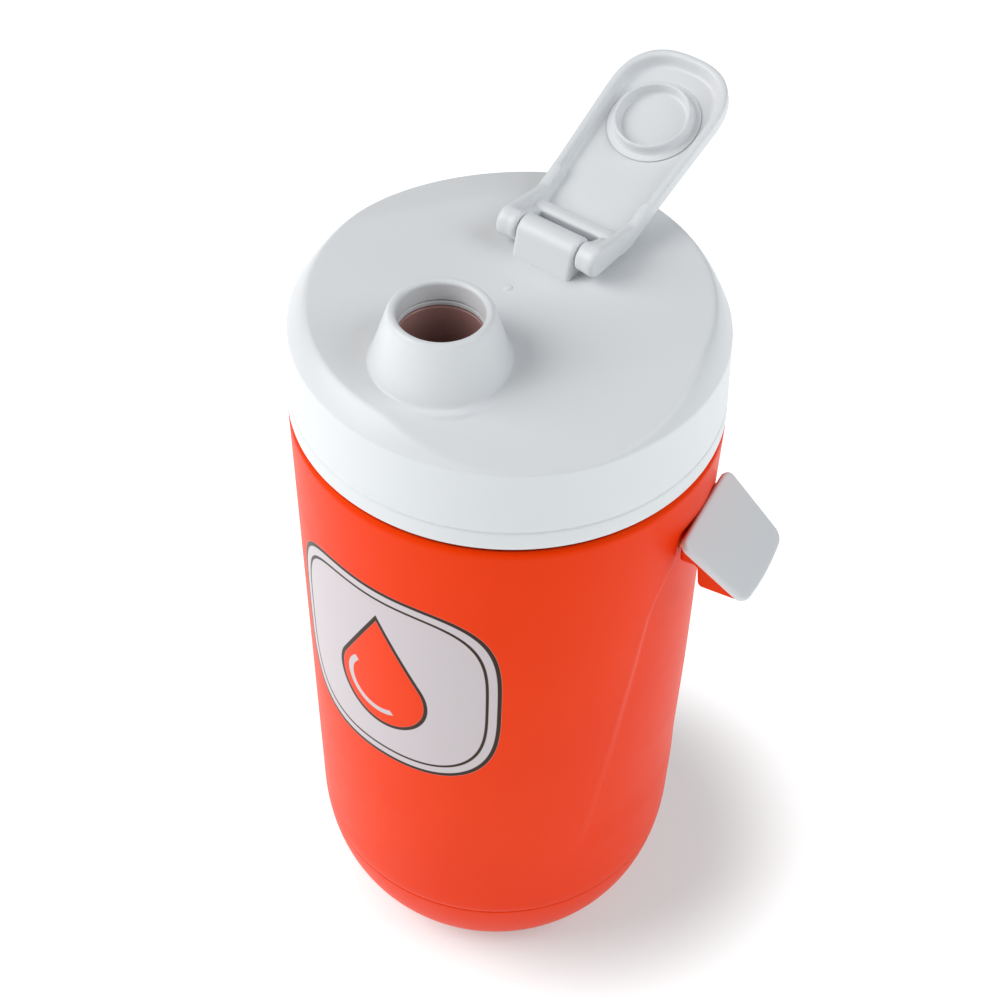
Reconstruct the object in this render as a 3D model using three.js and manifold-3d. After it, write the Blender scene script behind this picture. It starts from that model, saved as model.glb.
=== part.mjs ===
// An insulated jug with a screw lid, a drinking spout, a flip cap and a moulded side hook.
// Millimetres, +Z up. The jug stands on z = 0, the spout faces -Y and the cap's hinge lies behind it.
import * as THREE from 'three';
import { mergeVertices } from 'three/addons/utils/BufferGeometryUtils.js';
import Module from 'manifold-3d';

const wasm = await Module();
wasm.setup();

// ---- Driving dimensions ----
const ROUND = 40;                  // facets of the large turned pieces
const SMALL_ROUND = 20;            // facets of the small turned pieces
const SPOUT_ROUND = 32;            // facets of the spout and the pieces in it
const GAP = 0.4;                   // room left between pieces that touch

const SEAM_Z = 227.5;              // lower edge of the lid
const BODY_TOP_R = 68;             // body radius at the lid, flush with the lid's skirt
const BODY_LOW_R = 64.6;           // body radius where the rounded heel begins
const HEEL_Z = 42;                 // height of the rounded heel
const FOOT_R = 45.2;               // radius of the flat face the jug stands on
const SHELL_TOP_Z = 227;
const BASE_SEAM_Z = 33;            // joint between the base cup and the outer shell
const WALL = 3;                    // outer shell and base cup
const LINER_WALL = 2;

const NECK_R = 58.5;               // liner neck, outside
const MOUTH_R = 55.5;              // liner neck, inside
const NECK_TOP_Z = SEAM_Z + 21.6;
const THREAD_PITCH = 7;

const LID_R = 68;
const LID_WALL = 2.2;
const CREASE_Z = 30.3;             // top of the skirt, above the seam
const PLATEAU_Z = 39.5;            // top of the lid at its centre, above the seam
const PLATEAU_RISE = 5 / 122;      // the top rises towards the hinge
const BAND_TURN = -38;             // the raised band's sides face this way from +X, and the opposite way
const BAND_EDGES = [38.5, 46];     // distances of its two sides from the lid's axis

const SPOUT_Y = -33.6;
const SPOUT_TOP = 55.5;            // above the seam
const SPOUT_BASE_R = 21.6;
const SPOUT_HOLE_R = 12.7;
const LIP_DEPTH = 7;               // the spout's own lip above the pour tube
const TUBE_R = 12.5;
const TUBE_WALL = 1.8;

const HINGE_Y = 20.5;
const HINGE_Z = SEAM_Z + 47;
const KNUCKLE_R = 4.8;
const BLOCK_HALF = 10.5;
const PIN_R = 1.9;
const CAP_ANGLE = 23.5;            // the open cap stands this far above level
const CAP_FLOOR = -9;              // cap heights are measured from the hinge axis
const CAP_BACK = -11.2;
const CAP_RIM = -5;
const PLUG_ALONG = HINGE_Y - SPOUT_Y;

const HOOK_ANGLE = 10.5;           // the hook's direction from +X
const HOOK_HALF = 14;
const SCREW_SIDE = 8;              // screws sit this far to each side
const SCREW_Z = SEAM_Z - 27.2;

const ORANGE = 0xe9481f;
const LINING = 0xa38580;
const WHITE = 0xeceff1;

// ---- Solids ----
// A closed geometry becomes a solid that can be cut and joined.
function solidOf(geometry) {
  const bare = geometry.index ? geometry.toNonIndexed() : geometry.clone();
  bare.deleteAttribute('normal');
  bare.deleteAttribute('uv');
  const merged = mergeVertices(bare, 1e-4);
  const points = new Float32Array(merged.attributes.position.array);
  const index = merged.index.array;
  const corner = (i) => new THREE.Vector3(points[3 * i], points[3 * i + 1], points[3 * i + 2]);
  const kept = [];
  let volume = 0;
  for (let i = 0; i < index.length; i += 3) {
    const [a, b, c] = [index[i], index[i + 1], index[i + 2]];
    if (a === b || b === c || c === a) continue;
    kept.push(a, b, c);
    volume += corner(a).dot(corner(b).cross(corner(c)));
  }
  if (volume < 0) kept.reverse();
  const triVerts = new Uint32Array(kept);
  return new wasm.Manifold(new wasm.Mesh({ numProp: 3, vertProperties: points, triVerts }));
}

function place(geometry, position, turnDegrees = [0, 0, 0]) {
  const turn = new THREE.Euler(...turnDegrees.map((angle) => THREE.MathUtils.degToRad(angle)));
  geometry.applyMatrix4(new THREE.Matrix4().makeRotationFromEuler(turn));
  return geometry.translate(...position);
}

// A profile of [radius, height] points turned about Z. It is closed on itself if it leaves the axis.
function turned(profile, facets = ROUND) {
  const points = profile.map(([r, z]) => new THREE.Vector2(r, z));
  const onAxis = profile[0][0] === 0 && profile[profile.length - 1][0] === 0;
  if (!onAxis) points.push(points[0].clone());
  return new THREE.LatheGeometry(points, facets).rotateX(Math.PI / 2);
}

function ring(inner, outer, low, high, facets = ROUND) {
  return solidOf(turned([[inner, low], [outer, low], [outer, high], [inner, high]], facets));
}

function box(low, high) {
  const size = high.map((value, axis) => value - low[axis]);
  const centre = high.map((value, axis) => (value + low[axis]) / 2);
  return solidOf(new THREE.BoxGeometry(...size).translate(...centre));
}

// A round bar between two heights, standing at x, y.
function upright(radius, x, y, low, high, facets = SMALL_ROUND) {
  const bar = new THREE.CylinderGeometry(radius, radius, high - low, facets);
  return solidOf(place(bar, [x, y, (low + high) / 2], [90, 0, 0]));
}

// A round bar along X, centred on x.
function crossBar(radius, x, y, z, length) {
  const bar = new THREE.CylinderGeometry(radius, radius, length, SMALL_ROUND);
  return solidOf(place(bar, [x, y, z], [0, 0, 90]));
}

// An outline of [y, z] points extruded along X, half to each side.
function sideways(outline, halfWidth, centre = 0) {
  const shape = new THREE.Shape(outline.map(([y, z]) => new THREE.Vector2(y, z)));
  const bar = new THREE.ExtrudeGeometry(shape, { depth: 2 * halfWidth, bevelEnabled: false });
  bar.translate(0, 0, centre - halfWidth);
  const axes = new THREE.Matrix4().makeBasis(
    new THREE.Vector3(0, 1, 0), new THREE.Vector3(0, 0, 1), new THREE.Vector3(1, 0, 0));
  return solidOf(bar.applyMatrix4(axes));
}

// Points on an ellipse, from one angle to another in degrees.
function arc(cx, cy, rx, ry, from, to, steps) {
  return Array.from({ length: steps + 1 }, (_, i) => {
    const angle = THREE.MathUtils.degToRad(from + ((to - from) * i) / steps);
    return [cx + rx * Math.cos(angle), cy + ry * Math.sin(angle)];
  });
}

const object = new THREE.Group();

function add(name, solid, color, roughness, metalness = 0, parent = object) {
  const { vertProperties, triVerts } = solid.getMesh();
  const geometry = new THREE.BufferGeometry();
  geometry.setAttribute('position', new THREE.BufferAttribute(vertProperties, 3));
  geometry.setIndex(new THREE.BufferAttribute(triVerts, 1));
  geometry.computeVertexNormals();
  const mesh = new THREE.Mesh(geometry, new THREE.MeshStandardMaterial({ color, roughness, metalness }));
  mesh.name = name;
  parent.add(mesh);
  return mesh;
}

// ---- Body ----
function bodyRadius(z) {
  if (z >= HEEL_Z) {
    return BODY_LOW_R + ((BODY_TOP_R - BODY_LOW_R) * (z - HEEL_Z)) / (SEAM_Z - HEEL_Z);
  }
  const rise = (HEEL_Z - z) / HEEL_Z;
  return FOOT_R + (BODY_LOW_R - FOOT_R) * Math.sqrt(1 - rise * rise);
}

// Pieces of the hook's corner are made facing +X and turned to the hook's side.
function toHookSide(solid) {
  return solid.rotate([0, 0, HOOK_ANGLE]);
}

// A round bar that points along +X, for the screws and what they pass through.
function radialBar(radius, from, to, side, z = SCREW_Z) {
  return crossBar(radius, (from + to) / 2, side, z, to - from);
}

const screwSides = [-SCREW_SIDE, SCREW_SIDE];

// The wall steps back under the hook, in a panel that widens and fades downwards.
function hookPanelCut() {
  const deepest = 1.6;
  const top = SEAM_Z - 12;
  const fade = 118;
  const panel = new THREE.Shape([[-14, top], [14, top], [20, 178], [27, 148], [30, fade], [-30, fade],
    [-27, 148], [-20, 178]].map(([y, z]) => new THREE.Vector2(y, z)));
  const prism = new THREE.ExtrudeGeometry(panel, { depth: 40, bevelEnabled: false });
  prism.applyMatrix4(new THREE.Matrix4().makeBasis(
    new THREE.Vector3(0, 1, 0), new THREE.Vector3(0, 0, 1), new THREE.Vector3(1, 0, 0)));
  prism.translate(50, 0, 0);
  const floor = turned([[0, 80], [bodyRadius(80), 80], [bodyRadius(fade), fade],
    [bodyRadius(160) - deepest, 160], [bodyRadius(top) - deepest, top], [bodyRadius(top) - deepest, 240],
    [0, 240]]);
  return toHookSide(solidOf(prism).subtract(solidOf(floor)));
}

function outerShell() {
  const low = BASE_SEAM_Z + GAP;
  let shell = solidOf(turned([
    [bodyRadius(low) - WALL, low], [bodyRadius(low), low], [bodyRadius(37), 37], [bodyRadius(HEEL_Z), HEEL_Z],
    [bodyRadius(SHELL_TOP_Z) - 0.1, SHELL_TOP_Z - 0.8], [bodyRadius(SHELL_TOP_Z) - 0.9, SHELL_TOP_Z],
    [61.6, SHELL_TOP_Z], [61.6, SHELL_TOP_Z - 2.4], [bodyRadius(SHELL_TOP_Z) - WALL, SHELL_TOP_Z - 3],
    [bodyRadius(HEEL_Z) - WALL, HEEL_Z],
  ]));
  shell = shell.subtract(hookPanelCut());
  for (const side of screwSides) {
    shell = shell.add(toHookSide(radialBar(5, 59.6, 65.6, side)));
    shell = shell.subtract(toHookSide(radialBar(3.3, 50, 75, side)));
  }
  return shell;
}

const FILL_Y = 19;                 // the foam is poured in through an off-centre hole

function baseCup() {
  const spigotR = bodyRadius(BASE_SEAM_Z) - WALL - GAP;
  const outside = arc(FOOT_R, HEEL_Z, BODY_LOW_R - FOOT_R, HEEL_Z, -90, -12, 6)
    .filter(([, z]) => z < BASE_SEAM_Z - 1);
  const inside = arc(FOOT_R, HEEL_Z, BODY_LOW_R - FOOT_R - WALL, HEEL_Z - WALL, -14, -90, 5)
    .filter(([, z]) => z < BASE_SEAM_Z - 3);
  return solidOf(turned([
    [0, 0], [30, 0], [31, 1], [36, 1], [37, 0], ...outside, [bodyRadius(BASE_SEAM_Z), BASE_SEAM_Z],
    [spigotR, BASE_SEAM_Z], [spigotR, BASE_SEAM_Z + 7], [spigotR - 2, BASE_SEAM_Z + 7],
    [spigotR - 2, BASE_SEAM_Z - 1], ...inside, [0, WALL],
  ])).subtract(upright(5, 0, FILL_Y, -1, 6)).subtract(upright(8, 0, FILL_Y, -1, 1.3));
}

function foamFillPlug() {
  return upright(4.6, 0, FILL_Y, 0.8, WALL).add(upright(7.6, 0, FILL_Y, 0.4, 1));
}

const LINER_FLANGE_R = 62.3;

function innerLiner() {
  const low = 12;
  const top = 216;
  const body = solidOf(turned([
    [0, low], ...arc(41, low + 12, 12, 12, -90, 0, 4), [56.9, top], [57.2, 221.6], [LINER_FLANGE_R, 221.6],
    [LINER_FLANGE_R, 224.1], [NECK_R, 224.1], [NECK_R, NECK_TOP_Z - 0.8], [NECK_R - 0.8, NECK_TOP_Z],
    [MOUTH_R + 0.6, NECK_TOP_Z], [MOUTH_R, NECK_TOP_Z - 0.6], [MOUTH_R, 222], [56.9 - LINER_WALL, top],
    ...arc(41, low + 12, 12 - LINER_WALL, 12 - LINER_WALL, 0, -90, 4), [0, low + LINER_WALL],
  ]));
  return body.add(thread(NECK_R - 0.6, NECK_R + 1.8, SEAM_Z + 5, 1.1, 0));
}

// A thread is a straight bar of the thread's section, bent into a helix. Its ends run out into the wall.
function thread(rootR, crestR, startZ, turns, startTurn) {
  const inward = crestR < rootR;
  const section = new THREE.Shape([[rootR, -1.7], [crestR, -0.8], [crestR, 0.8], [rootR, 1.7]]
    .map(([r, z]) => new THREE.Vector2(r, z)));
  const steps = Math.round(32 * turns);
  const bar = new THREE.ExtrudeGeometry(section, { depth: 1, steps, bevelEnabled: false });
  const points = bar.attributes.position;
  const runOut = 0.08;
  for (let i = 0; i < points.count; i += 1) {
    const along = points.getZ(i);
    const height = Math.min(1, 0.35 + along / runOut, 0.35 + (1 - along) / runOut);
    const fullR = points.getX(i);
    const radius = inward ? Math.max(fullR, rootR + (fullR - rootR) * height)
      : Math.min(fullR, rootR + (fullR - rootR) * height);
    const angle = (startTurn + along * turns) * 2 * Math.PI;
    const z = startZ + points.getY(i) + along * turns * THREAD_PITCH;
    points.setXYZ(i, radius * Math.cos(angle), radius * Math.sin(angle), z);
  }
  return solidOf(bar);
}

function bodyFoam() {
  const outer = (z) => bodyRadius(z) - WALL - GAP;
  const spigotInner = bodyRadius(BASE_SEAM_Z) - WALL - GAP - 2;
  const cup = arc(FOOT_R, HEEL_Z, BODY_LOW_R - FOOT_R - WALL, HEEL_Z - WALL, -90, -14, 5)
    .filter(([, z]) => z < BASE_SEAM_Z - 3);
  let foam = solidOf(turned([
    [0, WALL + GAP], ...cup.map(([r, z]) => [r - GAP, z + GAP]), [spigotInner - GAP, BASE_SEAM_Z - 1],
    [spigotInner - GAP, BASE_SEAM_Z + 7 + GAP], [outer(HEEL_Z) - 0.2, BASE_SEAM_Z + 7 + GAP],
    [outer(220), 220.4], [57.7, 220.4], [56.9 + GAP, 216], [53 + GAP, 24],
    ...arc(41, 24, 12 + GAP, 12 + GAP, 0, -90, 4), [0, 12 - GAP],
  ]));
  for (const side of screwSides) {
    foam = foam.subtract(toHookSide(radialBar(5.8, 50, 75, side)));
  }
  return foam;
}

// ---- Hook ----
const PLATE_INNER = [68.6, SEAM_Z - 18.2];    // [distance from the axis, height] of the plate's two ends
const PLATE_OUTER = [90.2, SEAM_Z - 36.4];
const PLATE_DEPTH = 2.5;
const LIP_LOW = SEAM_Z - 39.4;
const THROAT_ROOF = SEAM_Z - 30.9;
const LIP_INNER = 72.8;

// The hook's side view, [distance from the axis, height], under the sloping plate.
function hookBracket() {
  const slope = (PLATE_OUTER[1] - PLATE_INNER[1]) / (PLATE_OUTER[0] - PLATE_INNER[0]);
  const drop = (PLATE_DEPTH + GAP) * Math.hypot(1, slope);
  const under = (x) => PLATE_INNER[1] - drop + slope * (x - PLATE_INNER[0]);
  const wall = 67.3;
  const shape = new THREE.Shape([
    [wall, under(wall) - 0.5], [85.5, under(85.5)], [86.6, under(85.5) - 1.2], [86.4, LIP_LOW + 0.8],
    [85.6, LIP_LOW], [LIP_INNER + 1, LIP_LOW], [LIP_INNER, LIP_LOW + 1.2], [LIP_INNER - 0.7, THROAT_ROOF - 1],
    [71.2, THROAT_ROOF], [wall, THROAT_ROOF],
  ].map(([x, z]) => new THREE.Vector2(x, z)));
  const bar = new THREE.ExtrudeGeometry(shape, { depth: 2 * HOOK_HALF, bevelEnabled: false });
  let bracket = solidOf(place(bar, [0, HOOK_HALF, 0], [90, 0, 0]));
  for (const side of screwSides) {
    bracket = bracket.subtract(radialBar(1.8, 60, 80, side)).subtract(radialBar(2.7, 69.4, 95, side));
  }
  for (const peg of coverPegs()) {
    bracket = bracket.subtract(peg.grow);
  }
  return toHookSide(bracket);
}

// The plate's own frame: X runs down the slope, Y across, Z out of the plate.
function ontoSlope(geometry) {
  const along = Math.atan2(PLATE_OUTER[1] - PLATE_INNER[1], PLATE_OUTER[0] - PLATE_INNER[0]);
  return place(geometry, [PLATE_INNER[0], 0, PLATE_INNER[1]], [0, -THREE.MathUtils.radToDeg(along), 0]);
}

// Two pegs under the plate snap into the bracket.
function coverPegs() {
  return [-9.5, 9.5].map((side) => {
    const peg = (radius, length) => solidOf(ontoSlope(place(
      new THREE.CylinderGeometry(radius, radius, length, 16),
      [20, side, 0.2 - PLATE_DEPTH - length / 2], [90, 0, 0])));
    return { pin: peg(1.5, 4.6), grow: peg(1.9, 5.2) };
  });
}

function hookCover() {
  const length = Math.hypot(PLATE_OUTER[0] - PLATE_INNER[0], PLATE_OUTER[1] - PLATE_INNER[1]);
  const [wide, narrow, corner] = [18.6, 15.8, 7];
  const shape = new THREE.Shape();
  shape.moveTo(corner, -wide);
  shape.lineTo(length - corner, -narrow);
  shape.quadraticCurveTo(length, -narrow + 0.4, length + 0.4, -narrow + corner);
  shape.quadraticCurveTo(length + 1.4, 0, length + 0.4, narrow - corner);
  shape.quadraticCurveTo(length, narrow - 0.4, length - corner, narrow);
  shape.lineTo(corner, wide);
  shape.quadraticCurveTo(0.6, wide - 0.4, 0, wide - corner);
  shape.quadraticCurveTo(-0.2, 0, 0, -wide + corner);
  shape.quadraticCurveTo(0.6, -wide + 0.4, corner, -wide);
  const plate = new THREE.ExtrudeGeometry(shape, {
    depth: 0.9, bevelThickness: 0.8, bevelSize: 0.8, bevelOffset: -0.8, bevelSegments: 2, curveSegments: 5,
  });
  plate.translate(0, 0, 0.8 - PLATE_DEPTH);
  let cover = solidOf(ontoSlope(plate));
  for (const peg of coverPegs()) {
    cover = cover.add(peg.pin);
  }
  return toHookSide(cover);
}

function hookScrew(side) {
  const head = radialBar(2.4, 69.7, 71.7, side);
  const socket = solidOf(place(new THREE.CylinderGeometry(1.2, 1.2, 3, 6), [72, side, SCREW_Z], [0, 0, 90]));
  return toHookSide(head.add(radialBar(1.5, 61.5, 70, side)).subtract(socket));
}

function threadedInsert(side) {
  return toHookSide(radialBar(2.9, 60.2, 66, side).subtract(radialBar(2, 50, 75, side)));
}

// ---- Lid ----
// The shoulder and top lean: they stand higher at the hinge than at the spout.
function lean(geometry) {
  const points = geometry.attributes.position;
  for (let i = 0; i < points.count; i += 1) {
    const above = points.getZ(i) - CREASE_Z - SEAM_Z;
    if (above <= 0) continue;
    const factor = 1 + (PLATEAU_RISE * points.getY(i)) / (PLATEAU_Z - CREASE_Z);
    points.setZ(i, SEAM_Z + CREASE_Z + above * factor);
  }
  return geometry;
}

// A level band runs slantwise over the top, and the top slopes away on each side of it.
function band(inset) {
  const fall = [[-3, 0.4], [1.5, -0.8], [8.5, -2.8], [34, -10.8]];
  const side = (edge) => fall.map(([out, rise]) => [edge + out - 0.3 * inset, PLATEAU_Z + rise - inset]);
  const right = side(BAND_EDGES[0]).reverse();
  const left = side(BAND_EDGES[1]).map(([x, z]) => [-x, z]);
  const outline = [[left[3][0], -20], [right[0][0], -20], ...right, [30, 60], [-30, 60], ...left];
  const shape = new THREE.Shape(outline.map(([x, z]) => new THREE.Vector2(x, z)));
  const bar = new THREE.ExtrudeGeometry(shape, { depth: 160, bevelEnabled: false });
  place(bar, [0, 80, 0], [90, 0, 0]);
  bar.rotateZ(THREE.MathUtils.degToRad(BAND_TURN));
  place(bar, [0, 0, SEAM_Z], [THREE.MathUtils.radToDeg(Math.atan(PLATEAU_RISE)), 0, 0]);
  return solidOf(bar);
}

function lidDome(profile, inset) {
  const raised = profile.map(([r, z]) => [r, z + SEAM_Z]);
  return solidOf(lean(turned(raised))).intersect(band(inset));
}

const SPOUT_STEP = SPOUT_TOP - LIP_DEPTH;

function lidShell() {
  const outside = lidDome([
    [0, 0], [67.2, 0], [LID_R, 0.8], [67.75, 7.2], [67.35, 7.5], [67.35, 8], [67.7, 8.3],
    [66.7, CREASE_Z], [66, 31.6], [65, 33.4], [63.6, 35.7], [62, 38], [61, 39.05], [60.2, PLATEAU_Z],
    [0, PLATEAU_Z],
  ], 0);
  const inside = lidDome([
    [0, -1], [65.3, -1], [64.3, 28.6], [63, 31.4], [61.4, 34.2], [59.8, 36.4], [58.8, PLATEAU_Z - LID_WALL],
    [0, PLATEAU_Z - LID_WALL],
  ], LID_WALL);
  const pad = box([-13, HINGE_Y - 8.5, SEAM_Z + 36], [13, HINGE_Y + 8.5, SEAM_Z + 38.9]);
  const pocket = box([-BLOCK_HALF - GAP, HINGE_Y - 6.2 - GAP, SEAM_Z + 38.9],
    [BLOCK_HALF + GAP, HINGE_Y + 6 + GAP, SEAM_Z + 60]);
  const spoutHole = upright(SPOUT_BASE_R + GAP, 0, SPOUT_Y, SEAM_Z + 20, SEAM_Z + 60, SPOUT_ROUND);
  return outside.subtract(inside).add(pad).subtract(spoutHole).subtract(pocket);
}

// The spout is moulded in one with the lid's top. It is a node of its own here, so that it stays a
// simple open ring.
function spout() {
  return solidOf(turned([
    [14.9, 34.6], [SPOUT_BASE_R, 34.6], [SPOUT_BASE_R, 38.2], [20.2, 40.4], [15.6, 54.4], [14.7, SPOUT_TOP],
    [13.5, SPOUT_TOP], [SPOUT_HOLE_R, SPOUT_TOP - 0.8], [SPOUT_HOLE_R, SPOUT_STEP], [14.9, SPOUT_STEP],
  ], SPOUT_ROUND)).translate([0, SPOUT_Y, SEAM_Z]);
}

function lidFoam() {
  const dome = lidDome([
    [0, 27], [63.6, 27], [63.4, 28.6], [62.3, 31.2], [60.7, 34], [59.1, 36],
    [58.1, PLATEAU_Z - LID_WALL - 0.6], [0, PLATEAU_Z - LID_WALL - 0.6],
  ], LID_WALL + 0.6);
  const padRoom = box([-13.5, HINGE_Y - 9, SEAM_Z + 35.5], [13.5, HINGE_Y + 9, SEAM_Z + 60]);
  return dome.subtract(padRoom).subtract(upright(22.2, 0, SPOUT_Y, SEAM_Z + 20, SEAM_Z + 60, SPOUT_ROUND));
}

const TUBE_OUTER = TUBE_R + TUBE_WALL;
const LID_FILL_Y = 30;

function lidLiner() {
  const base = SEAM_Z;
  const cup = solidOf(turned([
    [0, base + 22.2], [54.4, base + 22.2], [54.4, base + 24.3], [59.4, base + 24.3], [59.4, base + 22.2],
    [61.5, base + 20.6], [61.5, base + 1.2], [63.9, base + 1.2], [63.9, base + 26.5], [0, base + 26.5],
  ])).add(thread(62, 59.3, base + 5 + THREAD_PITCH / 2, 0.9, 0.05));
  const tube = upright(TUBE_OUTER, 0, SPOUT_Y, base + 24, base + SPOUT_STEP - 2.2, SPOUT_ROUND);
  return cup.add(tube).subtract(upright(TUBE_R, 0, SPOUT_Y, base + 10, base + 60, SPOUT_ROUND))
    .subtract(upright(4, 0, LID_FILL_Y, base + 10, base + 40))
    .subtract(upright(6.4, 0, LID_FILL_Y, base + 10, base + 23.3));
}

function lidFillPlug() {
  return upright(3.6, 0, LID_FILL_Y, SEAM_Z + 23, SEAM_Z + 26.5)
    .add(upright(6, 0, LID_FILL_Y, SEAM_Z + 22.5, SEAM_Z + 23.1));
}

function hingeBlock() {
  const [y, z] = [HINGE_Y, HINGE_Z];
  const foot = SEAM_Z + 38.9 + GAP;
  const outline = [[y - 6.2, foot], [y - 6.2, foot + 1.2], ...arc(y, z, KNUCKLE_R, KNUCKLE_R, 176, 2, 9),
    [y + 6, foot + 1.6], [y + 6, foot]];
  return sideways(outline, BLOCK_HALF).subtract(crossBar(PIN_R + 0.3, 0, y, z, 40));
}

// ---- Flip cap, in its own frame: X along the hinge, Y out along the cap, Z out of its underside ----
const ARM_INNER = 11;
const ARM_OUTER = 17.6;
const CAP_END = 77;

// The cap's outline, widest at the plug and rounded at the far end.
function capOutline(inset, from) {
  const [root, widest, corner] = [ARM_OUTER - inset, 19.6 - inset, 14 - inset];
  const end = CAP_END - inset;
  const shape = new THREE.Shape();
  shape.moveTo(-root, from);
  shape.lineTo(root, from);
  shape.lineTo(widest, 58);
  shape.bezierCurveTo(widest, end - corner * 0.45, widest - corner * 0.5, end - 1.2, 4, end);
  shape.lineTo(-4, end);
  shape.bezierCurveTo(-widest + corner * 0.5, end - 1.2, -widest, end - corner * 0.45, -widest, 58);
  return shape;
}

function flipCap() {
  const tray = new THREE.ExtrudeGeometry(capOutline(0, 8.6), {
    depth: CAP_RIM - CAP_BACK - 1.8, bevelThickness: 1.8, bevelSize: 1.8, bevelOffset: -1.8, bevelSegments: 3,
    curveSegments: 8,
  });
  tray.translate(0, 0, CAP_BACK + 1.8);
  const hollow = new THREE.ExtrudeGeometry(capOutline(2.4, 11.2), {
    depth: 30, bevelEnabled: false, curveSegments: 8,
  });
  hollow.translate(0, 0, CAP_FLOOR);
  const armSide = [[13, CAP_BACK], [26, CAP_FLOOR], [26, CAP_RIM], [18, CAP_RIM],
    ...arc(0, 0, KNUCKLE_R, KNUCKLE_R, 58, 245, 9)];
  const armHalf = (ARM_OUTER - ARM_INNER) / 2;
  const armCentre = (ARM_OUTER + ARM_INNER) / 2;
  const heelCut = sideways([[-10, -0.6], [13, CAP_BACK], [13, -20], [-10, -20]], 30);
  const bar = [[8.6, -8.6], [11.2, -10], [11.2, -2.2], [10.2, -1.2], [9.4, -1.2], [8.6, -2]];
  let cap = solidOf(tray).intersect(box([-30, 8.6, -20], [30, 90, CAP_RIM])).subtract(solidOf(hollow));
  cap = cap.subtract(heelCut).add(sideways(bar, ARM_INNER + 1));
  for (const side of [-1, 1]) {
    cap = cap.add(sideways(armSide, armHalf, side * armCentre));
  }
  const bore = crossBar(PIN_R + 0.25, 0, 0, 0, 2 * 14.9);
  const seat = upright(11.4, 0, PLUG_ALONG, CAP_FLOOR - 1, CAP_FLOOR + 1, SPOUT_ROUND)
    .add(upright(14.8, 0, PLUG_ALONG, CAP_FLOOR - 0.4, CAP_FLOOR + 1, SPOUT_ROUND));
  return cap.subtract(bore).subtract(seat);
}

// A stopper ring with a flared foot, pressed into the cap's floor.
function capPlug() {
  return solidOf(place(turned([
    [0, CAP_FLOOR - 0.6], [11, CAP_FLOOR - 0.6], [11, CAP_FLOOR - 0.1], [14.2, CAP_FLOOR - 0.1],
    [14.2, CAP_FLOOR + 0.1], [12.9, CAP_FLOOR + 0.3], [12.2, CAP_FLOOR + 0.9], [11.8, CAP_RIM - 0.5],
    [11.4, CAP_RIM], [11, CAP_RIM], [10.6, CAP_RIM - 0.4], [10.3, CAP_FLOOR + 0.9], [0, CAP_FLOOR + 0.5],
  ], SPOUT_ROUND), [0, PLUG_ALONG, 0]));
}

// ---- Assembly ----
add('outer_shell', outerShell(), ORANGE, 0.42);
add('base_cup', baseCup(), ORANGE, 0.42);
add('foam_fill_plug', foamFillPlug(), ORANGE, 0.5);
add('body_foam', bodyFoam(), 0xe8d9a8, 0.95);
add('inner_liner', innerLiner(), LINING, 0.3);

add('hook_bracket', hookBracket(), ORANGE, 0.45);
add('hook_cover', hookCover(), WHITE, 0.4);
for (const [index, side] of screwSides.entries()) {
  add(`hook_screw_${index + 1}`, hookScrew(side), 0xb9bcc0, 0.3, 1);
  add(`hook_insert_${index + 1}`, threadedInsert(side), 0xc9a24a, 0.35, 1);
}

add('lid_gasket', ring(54.9, 58.9, NECK_TOP_Z + 0.4, SEAM_Z + 23.9), 0xd9dcdc, 0.7);
add('lid_liner', lidLiner(), LINING, 0.3);
add('lid_fill_plug', lidFillPlug(), LINING, 0.5);
add('lid_foam', lidFoam(), 0xe8d9a8, 0.95);
add('lid_shell', lidShell(), WHITE, 0.4);
add('spout', spout(), WHITE, 0.4);
const sealTop = SEAM_Z + SPOUT_STEP - 0.3;
const spoutSeal = ring(TUBE_R + 0.3, TUBE_OUTER, sealTop - 1.6, sealTop, SPOUT_ROUND);
add('spout_seal', spoutSeal.translate([0, SPOUT_Y, 0]), 0xd9dcdc, 0.7);
add('hinge_block', hingeBlock(), WHITE, 0.4);
add('hinge_pin', crossBar(PIN_R, 0, HINGE_Y, HINGE_Z, 29), WHITE, 0.35);

const cap = new THREE.Group();
cap.position.set(0, HINGE_Y, HINGE_Z);
cap.rotation.x = THREE.MathUtils.degToRad(CAP_ANGLE);
object.add(cap);
add('flip_cap', flipCap(), WHITE, 0.4, 0, cap);
add('cap_plug', capPlug(), WHITE, 0.5, 0, cap);

export default object;
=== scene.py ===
# %% [markdown]
# # An insulated drinks jug, finished in Blender
# The jug is a double-walled orange body with a white screw lid. The lid carries a short spout and a hinged
# flip cap, which stands open here, and the body carries a moulded hook under a white plate.
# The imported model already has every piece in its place. This lesson gives each piece a fine surface and a
# finish, and leaves its place and its joints alone.

# %% Load the frame
import math

import bpy
import numpy as np
from mathutils import Matrix, Vector


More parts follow.
